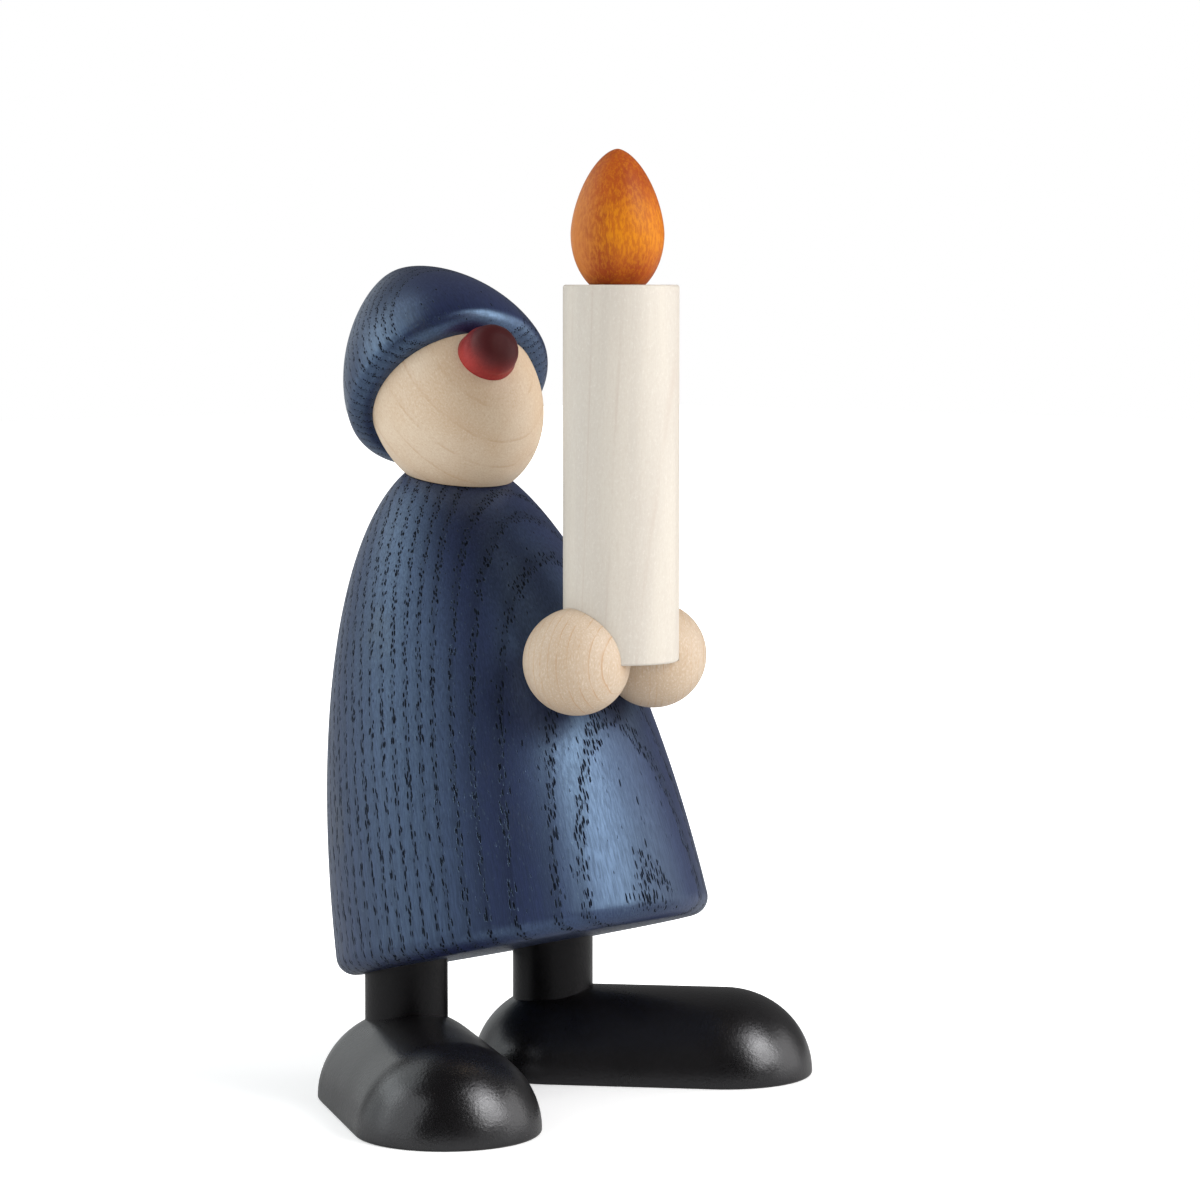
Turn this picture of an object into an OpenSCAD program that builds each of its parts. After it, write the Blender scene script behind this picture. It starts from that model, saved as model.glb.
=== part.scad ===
// Turned wooden well-wisher: a figure in a bell-shaped coat that leans back on two legs,
// looks up from under a cap and holds a candle between two ball hands.
// The figure faces -Y, its own right hand is at -X, and it stands on Z = 0. Millimetres and degrees.

/* [Place on the floor] */
// How far the figure's middle plane stands from the origin, towards its own left
stand_x = -2; // [-6:0.1:6]
// How far the legs stand behind the origin
stand_y = 7.2; // [-10:0.1:20]

/* [Shoes] */
// Width of a shoe
shoe_w = 32.8; // [28:0.2:36]
// Length of a shoe from heel to toe
shoe_l = 63.6; // [56:0.2:76]
// Height of a shoe
shoe_h = 15.9; // [13:0.1:20]
// Rounding of the edge under a shoe
sole_round = 0.6; // [0.4:0.1:2]
// How far a leg stands behind the middle of its shoe
leg_set_back = 16.9; // [8:0.1:18]
// Angle that the right shoe is turned out
right_toe_out = 29; // [15:0.5:42]
// Angle that the left shoe is turned out
left_toe_out = 37.5; // [15:0.5:42]

/* [Legs] */
// Diameter of a leg
leg_d = 15; // [11:0.2:17]
// Distance between the legs, centre to centre
leg_spacing = 36.6; // [34:0.2:40]
// Depth of a leg in its shoe
leg_in_shoe = 8; // [5:0.5:11]
// Depth of a leg in the coat
leg_in_coat = 14; // [8:0.5:24]

/* [Coat] */
// Lean of the coat's axis to the back
coat_lean = 14.5; // [8:0.5:18]
// Height of the middle of the hem over the floor
hem_z = 26.8; // [24:0.2:36]
// How far the middle of the hem stands in front of the legs
hem_forward = 12; // [6:0.1:14]
// Radius of the coat's outline, half an ellipse, at its widest
coat_r = 34.8; // [32:0.2:38]
// Half length of that ellipse
coat_half_l = 107.2; // [100:0.2:116]
// How far above its widest place the ellipse is cut off for the hem
hem_cut = 16; // [8:0.2:24]
// Rounding of the hem's edge
hem_round = 3.4; // [1:0.1:5]

/* [Neck] */
// How far below the ellipse's tip the neck seat is cut
neck_cut = 4.7; // [3.5:0.1:7]
// How far the neck dowel stands in front of the coat's axis
neck_forward = 4; // [2:0.1:5]
// Forward tilt of the neck seat
neck_tilt = 8.6; // [2:0.2:12]
// Gap between the coat and the head at the neck seat
neck_gap = 0.15; // [0.1:0.01:0.4]
// Diameter of the neck dowel
neck_dowel_d = 6; // [4:0.5:8]
// Depth of the neck dowel in the coat
neck_dowel_in_coat = 14; // [8:0.5:24]
// Depth of the neck dowel in the head
neck_dowel_in_head = 9; // [6:0.5:11]

/* [Head] */
// Turn of the head towards the figure's own right
head_turn = 17; // [-30:1:30]
// Lean of the head's axis to the back, from the neck dowel
head_lean = 57.6; // [45:0.2:65]
// Diameter of the egg-shaped head
head_d = 31.2; // [28:0.2:35]
// Length of the egg-shaped head along its axis
head_l = 39.6; // [36:0.2:44]
// Height of the head's middle over the neck seat
head_up = 13.4; // [11:0.1:15]
// How far the head's middle lies behind the neck dowel
head_back = 3.1; // [1:0.1:5]

/* [Nose] */
// Diameter of the nose where it leaves the head
nose_d = 10.4; // [7:0.2:11]
// Diameter of the nose at its end
nose_tip_d = 8.8; // [5:0.2:9]
// Distance from the head's middle to the end of the nose
nose_reach = 21.4; // [19.5:0.1:24]
// Length over which the nose tapers
nose_taper_l = 4.7; // [2:0.1:6]
// Depth of the nose in the head, under the start of its taper
nose_in_head = 7; // [4:0.5:9]
// Rounding of the end of the nose
nose_round = 1.8; // [0.4:0.1:2]
// How far the nose points down from the widest ring of the head
nose_drop = 27; // [10:1:40]
// How far the axis of the nose passes above the head's middle
nose_rise = 2.9; // [0:0.1:3]

/* [Cap] */
// Widest diameter of the cap
cap_d = 38.6; // [36:0.2:44]
// Distance from the head's middle to the cap's tip
cap_tip = 34.8; // [30:0.2:40]
// Distance from the head's middle up to the cap's rim
cap_rim = 1.1; // [0.5:0.1:4]
// Height of the rounded lip over the rim
cap_lip_h = 3.1; // [1:0.1:4]
// Fullness of the cap's flank, larger is fuller
cap_flank = 1.66; // [1.4:0.02:2.4]
// Sharpness of the cap's tip, larger is sharper
cap_point = 0.77; // [0.5:0.01:0.9]

/* [Hands] */
// Diameter of a ball hand
hand_d = 18.9; // [16:0.1:22]
// Gap between the two hands
hand_gap = 0.12; // [0.05:0.01:1]
// Height of the hands along the coat's axis, from the hem
hand_up = 46.4; // [38:0.2:52]
// Depth that a hand sinks into its seat in the coat
hand_seat = 0.5; // [0.2:0.1:1.2]
// Diameter of the dowel that holds a hand
hand_dowel_d = 3.5; // [2.5:0.1:4]
// How far that dowel lies below the middle of the hand
hand_dowel_drop = 3.6; // [3:0.1:4.5]
// Depth of that dowel in the hand
hand_dowel_in_hand = 6; // [4:0.5:8]
// Depth of that dowel in the coat
hand_dowel_in_coat = 12; // [6:0.5:18]

/* [Candle] */
// Diameter of the candle
candle_d = 20.4; // [18:0.2:22]
// Length of the candle
candle_l = 66; // [50:0.5:80]
// How far the candle stands out of the middle plane, towards the figure's own left
candle_aside = -0.6; // [-1.5:0.1:1.5]
// Rounding of the candle's edges
candle_round = 0.5; // [0.2:0.1:1.5]
// How far the ledges under the candle lie below the middle of the hands
ledge_drop = 0.3; // [0:0.1:1]
// Gap between the candle's lower edge and the coat
candle_gap = 0.12; // [0.05:0.01:1]

/* [Flame] */
// How far the flame stands beside the candle's axis, towards the figure's own left
flame_aside = -0.9; // [-1.5:0.1:1.5]
// Diameter of the flame at its widest
flame_d = 16.4; // [12:0.2:19]
// Height of the widest place over the candle
flame_widest = 8.8; // [6:0.1:11]
// Height from the widest place to the flame's tip
flame_upper = 14.8; // [11:0.1:20]
// Depth of the full egg below its widest place, cut flat by the candle
flame_lower = 11; // [10:0.1:14]
// Diameter of the tenon under the flame
tenon_d = 4.5; // [3:0.1:6]
// Length of the tenon under the flame
tenon_l = 8; // [4:0.5:12]

/* [Fits] */
// Gap all round a glued fit
glue_gap = 0.04; // [0.02:0.01:0.1]
// Gap all round the neck dowel, where it turns in the coat
turn_gap = 0.05; // [0.02:0.01:0.1]
// Room at the bottom of a blind hole
hole_room = 0.4; // [0.2:0.1:1]

/* [Hidden] */
$fn = 96;

blue_ash = [0.17, 0.23, 0.37];
maple = [0.85, 0.72, 0.55];
pale_wood = [0.92, 0.88, 0.80];
orange_stain = [0.80, 0.40, 0.06];
red_stain = [0.48, 0.10, 0.09];
black_lacquer = [0.06, 0.06, 0.06];
beech = [0.80, 0.64, 0.45];

curve_steps = 32;
corner_steps = 6;
flame_bulge = 1.55;
flame_point = 0.53;

// The shoe is a half capsule: a straight length with two round ends
shoe_r = shoe_w / 2;
shoe_straight = shoe_l - shoe_w;

// Heights along a leg
leg_bottom = shoe_h - leg_in_shoe;
leg_top = hem_z - hem_forward * tan(coat_lean) + leg_in_coat;

// The coat's ellipse in its own upright frame, with the hem at zero
coat_tip = coat_half_l - hem_cut;
function coat_angle(up) = asin((up + hem_cut) / coat_half_l);
function coat_radius(up) = coat_r * cos(coat_angle(up));

// Front outline of the leaning coat in the middle plane, at a height over the floor
coat_mid_y = -hem_forward - hem_cut * sin(coat_lean);
coat_mid_z = hem_z - hem_cut * cos(coat_lean);
front_reach = norm([coat_half_l * cos(coat_lean), coat_r * sin(coat_lean)]);
front_shift = atan2(coat_r * sin(coat_lean), coat_half_l * cos(coat_lean));
function front_angle(z) = asin((z - coat_mid_z) / front_reach) - front_shift;
function coat_front_y(z) = coat_mid_y + coat_half_l * sin(front_angle(z)) * sin(coat_lean)
    - coat_r * cos(front_angle(z)) * cos(coat_lean);

// Hands: they touch the coat at their seats and stand side by side
hand_r = hand_d / 2;
hand_half = hand_r + hand_gap / 2;
hand_out = coat_radius(hand_up) + hand_r - hand_seat;
hand_swing = asin(hand_half / hand_out);
hand_front = hand_out * cos(hand_swing);
hand_y = -hem_forward + hand_up * sin(coat_lean) - hand_front * cos(coat_lean);
hand_z = hem_z + hand_up * cos(coat_lean) + hand_front * sin(coat_lean);

// Candle and flame
candle_z = hand_z - ledge_drop;
candle_y = coat_front_y(candle_z) - candle_gap - candle_d / 2;
flame_z = candle_z + candle_l;

// Head
head_r = head_d / 2;
head_half_l = head_l / 2;
cap_r = cap_d / 2;
cap_wide = cap_rim + cap_lip_h;
nose_taper_from = nose_reach - nose_taper_l;
nose_root = nose_taper_from - nose_in_head;

// Points of a quarter round with half axes rx and ry about a centre, between two angles
function corner(cx, cy, rx, ry, from, to) = [for (i = [0 : corner_steps])
    let (a = from + (to - from) * i / corner_steps) [cx + rx * cos(a), cy + ry * sin(a)]];

// Half outline of the egg-shaped head, grown all round by a gap
function egg_outline(gap) = [for (i = [0 : curve_steps])
    let (a = -90 + 180 * i / curve_steps) [(head_r + gap) * cos(a), (head_half_l + gap) * sin(a)]];

// Half outline of the coat: hem, rounded edge, and the ellipse up to its tip
function coat_outline() = concat(
    [[0, 0]],
    corner(coat_radius(hem_round) - hem_round, hem_round, hem_round, hem_round, -90, 0),
    [for (i = [1 : curve_steps])
        let (from = coat_angle(hem_round), a = from + (90 - from) * i / curve_steps)
        [coat_r * cos(a), coat_half_l * sin(a) - hem_cut]]);

// Half outline of the cap: rim, rounded lip, and a flank that draws in to a blunt tip
function cap_outline() = concat(
    [[0, cap_rim]],
    corner(head_r, cap_wide, cap_r - head_r, cap_lip_h, -90, 0),
    [for (i = [1 : curve_steps])
        let (u = sin(90 * i / curve_steps))
        [cap_r * pow(1 - pow(u, cap_flank), cap_point), cap_wide + (cap_tip - cap_wide) * u]]);

// Half outline of the flame: an egg cut flat below and drawn to a point above
function flame_outline() = concat(
    [for (i = [0 : corner_steps])
        let (z = flame_widest * (i / corner_steps - 1))
        [flame_d / 2 * sqrt(1 - pow(z / flame_lower, 2)), flame_widest + z]],
    [for (i = [1 : curve_steps])
        let (u = sin(90 * i / curve_steps))
        [flame_d / 2 * pow(1 - pow(u, flame_bulge), flame_point), flame_widest + flame_upper * u]]);

// Half outline of the nose along its axis, from its root in the head to its rounded end
function nose_outline() = concat(
    [[0, nose_root], [nose_d / 2, nose_root], [nose_d / 2, nose_taper_from]],
    corner(nose_tip_d / 2 - nose_round, nose_reach - nose_round, nose_round, nose_round, 0, 90),
    [[0, nose_reach]]);

// Half outline of the candle, with both edges rounded
function candle_outline() = concat(
    [[0, 0]],
    corner(candle_d / 2 - candle_round, candle_round, candle_round, candle_round, -90, 0),
    corner(candle_d / 2 - candle_round, candle_l - candle_round, candle_round, candle_round, 0, 90),
    [[0, candle_l]]);

// Half outline across a shoe: flat sole, rounded edge and a dome
function shoe_outline() = concat(
    [[0, 0]],
    corner(shoe_r - sole_round, sole_round, sole_round, sole_round, -90, 0),
    [for (i = [1 : curve_steps])
        let (a = 90 * i / curve_steps) [shoe_r * cos(a), sole_round + (shoe_h - sole_round) * sin(a)]]);

// Places the whole figure over the origin; a side is -1 for its own right and 1 for its own left
module stand() {
    translate([stand_x, stand_y, 0]) children();
}

// Frame of the coat: the hem's middle, leaning back
module coat_place() {
    translate([0, -hem_forward, hem_z]) rotate([-coat_lean, 0, 0]) children();
}

// Frame of the neck seat: upright but for its tilt, turned with the head
module neck_place() {
    coat_place() translate([0, -neck_forward, coat_tip - neck_cut])
        rotate([coat_lean, 0, 0]) rotate([0, 0, -head_turn]) rotate([neck_tilt, 0, 0]) children();
}

// Frame of the head's own axis, through the middle of the egg
module egg_place() {
    neck_place() translate([0, head_back, head_up]) rotate([-head_lean, 0, 0]) children();
}

// Frame of the nose: it looks along the nose from above the head's middle
module nose_place() {
    egg_place() rotate([90 + nose_drop, 0, 0]) translate([0, nose_rise, 0]) children();
}

// Frame of a hand's dowel: it looks outwards from the coat's axis, square to it
module hand_dowel_place(side) {
    coat_place() translate([0, 0, hand_up - hand_dowel_drop])
        rotate([0, 0, side * hand_swing]) rotate([90, 0, 0]) children();
}

module hand_place(side) {
    translate([side * hand_half, hand_y, hand_z]) children();
}

module leg_place(side) {
    translate([side * leg_spacing / 2, 0, 0]) children();
}

// Cylinder of the candle, grown all round by a gap
module candle_space(gap) {
    translate([candle_aside, candle_y, candle_z]) cylinder(r = candle_d / 2 + gap, h = candle_l);
}

// Dowel of a hand, or its hole, grown by a gap and by room at both ends
module hand_dowel_space(side, gap, room) {
    meet = coat_radius(hand_up - hand_dowel_drop);
    hand_dowel_place(side)
        translate([0, 0, meet - hand_dowel_in_coat - room])
            cylinder(d = hand_dowel_d + 2 * gap, h = hand_dowel_in_coat + hand_dowel_in_hand + 2 * room);
}

// Leg, or its hole, grown by a gap and by room at both ends
module leg_space(side, gap, room) {
    leg_place(side) translate([0, 0, leg_bottom - room])
        cylinder(d = leg_d + 2 * gap, h = leg_top - leg_bottom + 2 * room);
}

// Half capsule with its length along Y, the toe towards -Y
module shoe_body() {
    translate([0, shoe_straight / 2, 0]) rotate([90, 0, 0])
        linear_extrude(shoe_straight) {
            polygon(shoe_outline());
            mirror([1, 0]) polygon(shoe_outline());
        }
    for (turn = [0, 180])
        rotate([0, 0, turn]) translate([0, shoe_straight / 2, 0])
            rotate_extrude(angle = 180) polygon(shoe_outline());
}

module shoe(side, toe_out) {
    color(black_lacquer) stand() difference() {
        leg_place(side) rotate([0, 0, side * toe_out]) translate([0, -leg_set_back, 0]) shoe_body();
        leg_space(side, glue_gap, hole_room);
    }
}

module leg(side) {
    color(black_lacquer) stand() leg_space(side, 0, 0);
}

module hand(side) {
    color(maple) stand() difference() {
        hand_place(side) sphere(d = hand_d);
        candle_space(glue_gap);
        hand_dowel_space(side, glue_gap, hole_room);
    }
}

module hand_dowel(side) {
    color(beech) stand() hand_dowel_space(side, 0, 0);
}

module coat() {
    color(blue_ash) stand() difference() {
        coat_place() rotate_extrude() polygon(coat_outline());
        neck_place() translate([-coat_r, -coat_r, 0]) cube([2 * coat_r, 2 * coat_r, coat_half_l]);
        neck_place() translate([0, 0, -neck_dowel_in_coat - hole_room])
            cylinder(d = neck_dowel_d + 2 * turn_gap, h = neck_dowel_in_coat + 2 * hole_room);
        for (side = [-1, 1]) {
            leg_space(side, glue_gap, hole_room);
            hand_place(side) sphere(d = hand_d + 2 * glue_gap);
            hand_dowel_space(side, glue_gap, hole_room);
        }
    }
}

module neck_dowel() {
    color(beech) stand() neck_place() translate([0, 0, -neck_dowel_in_coat])
        cylinder(d = neck_dowel_d, h = neck_dowel_in_coat + neck_gap + neck_dowel_in_head);
}

module head() {
    color(maple) stand() difference() {
        egg_place() rotate_extrude() polygon(egg_outline(0));
        neck_place() translate([-head_l, -head_l, neck_gap - head_l]) cube([2 * head_l, 2 * head_l, head_l]);
        neck_place() cylinder(d = neck_dowel_d + 2 * glue_gap, h = neck_gap + neck_dowel_in_head + hole_room);
        nose_place() translate([0, 0, nose_root - hole_room])
            cylinder(d = nose_d + 2 * glue_gap, h = nose_reach);
    }
}

module nose() {
    color(red_stain) stand() nose_place() rotate_extrude() polygon(nose_outline());
}

module cap() {
    color(blue_ash) stand() egg_place() rotate_extrude() difference() {
        polygon(cap_outline());
        polygon(egg_outline(glue_gap));
    }
}

module candle() {
    color(pale_wood) stand() translate([candle_aside, candle_y, candle_z]) difference() {
        rotate_extrude() polygon(candle_outline());
        translate([flame_aside, 0, candle_l - tenon_l - hole_room])
            cylinder(d = tenon_d + 2 * glue_gap, h = tenon_l + 2 * hole_room);
    }
}

module flame() {
    color(orange_stain) stand() translate([candle_aside + flame_aside, candle_y, flame_z]) {
        rotate_extrude() polygon(concat([[0, 0]], flame_outline()));
        translate([0, 0, -tenon_l]) cylinder(d = tenon_d, h = tenon_l + flame_widest);
    }
}

coat();
neck_dowel();
head();
nose();
cap();
hand(-1);  // right_hand
hand(1);  // left_hand
hand_dowel(-1);  // right_hand_dowel
hand_dowel(1);  // left_hand_dowel
candle();
flame();
leg(-1);  // right_leg
leg(1);  // left_leg
shoe(-1, right_toe_out);  // right_shoe
shoe(1, left_toe_out);  // left_shoe
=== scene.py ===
import bmesh
import bpy
import numpy as np
from mathutils import Matrix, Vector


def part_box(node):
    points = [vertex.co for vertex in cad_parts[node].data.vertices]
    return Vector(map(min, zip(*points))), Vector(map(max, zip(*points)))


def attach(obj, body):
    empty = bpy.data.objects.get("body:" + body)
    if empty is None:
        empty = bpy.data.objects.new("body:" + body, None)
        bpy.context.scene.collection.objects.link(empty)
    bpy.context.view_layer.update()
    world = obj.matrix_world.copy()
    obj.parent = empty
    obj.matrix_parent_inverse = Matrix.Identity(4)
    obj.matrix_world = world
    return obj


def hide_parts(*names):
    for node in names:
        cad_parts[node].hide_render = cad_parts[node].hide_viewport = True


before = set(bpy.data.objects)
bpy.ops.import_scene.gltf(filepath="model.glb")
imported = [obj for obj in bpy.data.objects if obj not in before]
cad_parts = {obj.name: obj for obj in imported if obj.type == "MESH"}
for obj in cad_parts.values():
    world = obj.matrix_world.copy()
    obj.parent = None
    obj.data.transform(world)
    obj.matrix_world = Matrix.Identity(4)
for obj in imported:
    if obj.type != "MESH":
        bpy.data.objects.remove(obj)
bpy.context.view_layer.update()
mm = 0.001  # lengths below are millimetres, the scene is in metres


# turning and placing

def turnX(degrees):
    c, s = np.cos(np.radians(degrees)), np.sin(np.radians(degrees))
    return np.array([[1, 0, 0], [0, c, -s], [0, s, c]])


def turnZ(degrees):
    c, s = np.cos(np.radians(degrees)), np.sin(np.radians(degrees))
    return np.array([[c, -s, 0], [s, c, 0], [0, 0, 1]])


def placed(grid, turn, at):
    return grid @ turn.T + at


figure = {"standX": -2.0, "standY": 7.2, "glueGap": 0.04}
stand = np.array([figure["standX"], figure["standY"], 0.0])  # on the floor, midway between the legs
upright = np.eye(3)


# surfaces

meshing = {"edgeRing": 0.2, "mergeDistance": 1e-7, "sharpAngle": 40}  # millimetres, metres, degrees


def arc(cx, cy, rx, ry, start, end, steps=10):
    # quarter round: centre plus half axes times cosine and sine of an angle
    a = np.radians(np.linspace(start, end, steps + 1))
    return np.stack([cx + rx * np.cos(a), cy + ry * np.sin(a)], -1)


def line(x0, y0, x1, y1, steps=4):
    # straight run of points between two ends
    t = np.linspace(0, 1, steps + 1)
    return np.stack([x0 + (x1 - x0) * t, y0 + (y1 - y0) * t], -1)


def flatTo(radius, height):
    # flat disc from the axis out to a radius, with a close ring beside its edge
    r = np.array([0.0, radius / 2, radius - meshing["edgeRing"]])
    return np.stack([r, np.full(3, height)], -1)


def revolved(profile, around):
    # surface of revolution: each profile radius swept about Z, the profile running from below to above
    a = np.linspace(0, 2 * np.pi, around, endpoint=False)
    r, z = profile[:, 0:1], profile[:, 1:2]
    return np.stack([r * np.cos(a), r * np.sin(a), z + 0 * a], -1)


def gridMesh(name, grid, sharpAngle):
    # grid is rows by columns by 3 in millimetres; the columns close on themselves and poles are merged
    rows, columns = grid.shape[:2]
    index = np.arange(rows * columns).reshape(rows, columns)
    beside = np.roll(index, -1, axis=1)
    quads = np.stack([index[:-1], beside[:-1], beside[1:], index[1:]], -1).reshape(-1, 4)
    mesh = bpy.data.meshes.new(name)
    mesh.from_pydata((grid.reshape(-1, 3) * mm).tolist(), [], quads.tolist())
    work = bmesh.new()
    work.from_mesh(mesh)
    bmesh.ops.remove_doubles(work, verts=work.verts, dist=meshing["mergeDistance"])
    bmesh.ops.recalc_face_normals(work, faces=work.faces)
    work.to_mesh(mesh)
    work.free()
    smoothMesh(mesh, sharpAngle)
    return mesh


def smoothMesh(mesh, sharpAngle):
    mesh.polygons.foreach_set("use_smooth", np.ones(len(mesh.polygons), bool))
    mesh.set_sharp_from_angle(angle=np.radians(sharpAngle))


def newObject(name, mesh):
    made = bpy.data.objects.new(name, mesh)
    bpy.context.scene.collection.objects.link(made)
    return made


def piece(name, grid, material, body, nodes, sharpAngle=meshing["sharpAngle"]):
    made = newObject(name, gridMesh(name, grid, sharpAngle))
    made.data.materials.append(material)
    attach(made, body)
    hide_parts(*nodes)
    return made


def carve(made, cutterGrid, sharpAngle=meshing["sharpAngle"]):
    # cuts a closed surface out of a finished piece and leaves its own material on every face
    material = made.data.materials[0]
    cutter = newObject("cutter", gridMesh("cutter", cutterGrid, sharpAngle))
    cut = made.modifiers.new("carve", "BOOLEAN")
    cut.object = cutter
    cut.operation = "DIFFERENCE"
    cut.solver = "EXACT"
    bpy.context.view_layer.update()
    mesh = bpy.data.meshes.new_from_object(made.evaluated_get(bpy.context.evaluated_depsgraph_get()))
    made.modifiers.clear()
    made.data = mesh
    mesh.materials.clear()
    mesh.materials.append(material)
    smoothMesh(mesh, sharpAngle)
    bpy.data.objects.remove(cutter)


# shader nodes

def newMaterial(name):
    material = bpy.data.materials.new(name)
    material.use_nodes = True
    tree = material.node_tree
    return material, tree, tree.nodes["Principled BSDF"]


def add(tree, kind, values=None, **settings):
    # makes a node; a socket given as a value is linked, anything else is set on the input
    made = tree.nodes.new(kind)
    for key, value in settings.items():
        setattr(made, key, value)
    for key, value in (values or {}).items():
        if isinstance(value, bpy.types.NodeSocket):
            tree.links.new(value, made.inputs[key])
        else:
            made.inputs[key].default_value = value
    return made


def calc(tree, operation, a, b=0.0, clamp=False):
    return add(tree, "ShaderNodeMath", {0: a, 1: b}, operation=operation, use_clamp=clamp).outputs[0]


def plus(tree, a, b):
    return calc(tree, "ADD", a, b)


def minus(tree, a, b):
    return calc(tree, "SUBTRACT", a, b)


def times(tree, a, b):
    return calc(tree, "MULTIPLY", a, b)


def centred(tree, value, spread):
    # noise about its middle of one half, times a spread
    return times(tree, minus(tree, value, 0.5), spread)


def ramp(tree, value, low, high, toLow=0.0, toHigh=1.0):
    # smooth step from one value to another, held at both ends
    values = {"Value": value, "From Min": low, "From Max": high, "To Min": toLow, "To Max": toHigh}
    return add(tree, "ShaderNodeMapRange", values, interpolation_type="SMOOTHSTEP").outputs["Result"]


def mixColor(tree, factor, a, b):
    return add(tree, "ShaderNodeMix", {0: factor, 6: a, 7: b}, data_type="RGBA").outputs[2]


def scaled(tree, vector, x, y, z):
    return add(tree, "ShaderNodeVectorMath", {0: vector, 1: (x, y, z)}, operation="MULTIPLY").outputs[0]


def lengthOf(tree, vector):
    return add(tree, "ShaderNodeVectorMath", {0: vector}, operation="LENGTH").outputs["Value"]


def alongWay(tree, vector, way):
    # how far a vector reaches in one direction
    made = add(tree, "ShaderNodeVectorMath", {0: vector, 1: way}, operation="DOT_PRODUCT")
    return made.outputs["Value"]


def objectPlace(tree):
    return add(tree, "ShaderNodeTexCoord").outputs["Object"]


def noise(tree, vector, scale, detail=2.0, roughness=0.5, output="Fac"):
    values = {"Vector": vector, "Scale": scale, "Detail": detail, "Roughness": roughness}
    return add(tree, "ShaderNodeTexNoise", values).outputs[output]


# wood: textures in a look are (noise cells per mm across the grain, cells along it, detail, roughness),
# blends are (from, to, share at from, share at to) and bumps are (strength, depth in mm)

wood = {"slowAlong": 0.15, "cellRandomness": 0.9, "spindleEdge": 8.0}


def grainSpace(tree, at, turn):
    # millimetres in the wood's own frame: Z runs along the grain and the pith is the Z axis
    values = {"Vector": objectPlace(tree), "Location": (np.asarray(at) * mm).tolist(),
              "Rotation": Matrix(turn.tolist()).to_euler("XYZ"), "Scale": (mm, mm, mm)}
    return add(tree, "ShaderNodeMapping", values, vector_type="TEXTURE").outputs[0]


def grainNoise(tree, grain, texture):
    across, along, detail, roughness = texture
    return noise(tree, scaled(tree, grain, across, across, along), 1.0, detail, roughness)


def pithDistance(tree, grain, look):
    # distance from the pith, bent a little by slow noise that is drawn out along the grain
    wave = look["wave"]
    radius = lengthOf(tree, scaled(tree, grain, 1, 1, 0))
    slow = noise(tree, scaled(tree, grain, 1 / wave, 1 / wave, wood["slowAlong"] / wave), 1.0)
    return plus(tree, radius, centred(tree, slow, 2 * look["wander"]))


def scattered(tree, place, cell, chance, size):
    # long cells drawn by chance; each holds one spindle, full in its middle and nothing at its edge
    wide, tall = cell
    values = {"Vector": scaled(tree, place, 1 / wide, 1 / wide, 1 / tall), "Scale": 1.0,
              "Randomness": wood["cellRandomness"]}
    found = add(tree, "ShaderNodeTexVoronoi", values).outputs
    draw, sizeDraw = add(tree, "ShaderNodeSeparateColor", {0: found["Color"]}).outputs[:2]
    middle = scaled(tree, found["Position"], wide, wide, tall)
    chosen = calc(tree, "LESS_THAN", draw, chance(middle))
    depth = minus(tree, ramp(tree, sizeDraw, 0.0, 1.0, *size), found["Distance"])
    return times(tree, calc(tree, "MULTIPLY", depth, wood["spindleEdge"], clamp=True), chosen)


def yearLine(tree, phase, look):
    # thin line near the end of each year: it rises over one span and falls over the next
    return times(tree, ramp(tree, phase, *look["lineRise"]), ramp(tree, phase, *look["lineFall"]))


def roughnessFrom(tree, texture, look):
    # the finish's middle roughness, a little glossier and duller as the texture goes
    low, high, toLow, toHigh = look["roughBlend"]
    return ramp(tree, texture, low, high, look["roughness"] + toLow, look["roughness"] + toHigh)


def finishSurface(tree, shader, color, roughness, height, look):
    strength, depth = look["bump"]
    bump = add(tree, "ShaderNodeBump", {"Height": height, "Strength": strength, "Distance": depth * mm})
    tree.links.new(color, shader.inputs["Base Color"])
    tree.links.new(roughness, shader.inputs["Roughness"])
    tree.links.new(bump.outputs[0], shader.inputs["Normal"])
    shader.inputs["Specular IOR Level"].default_value = look["specular"]
    shader.inputs["Specular Tint"].default_value = look["tint"]
    shader.inputs["IOR"].default_value = look["ior"]


# open-pored ash, stained blue

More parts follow.
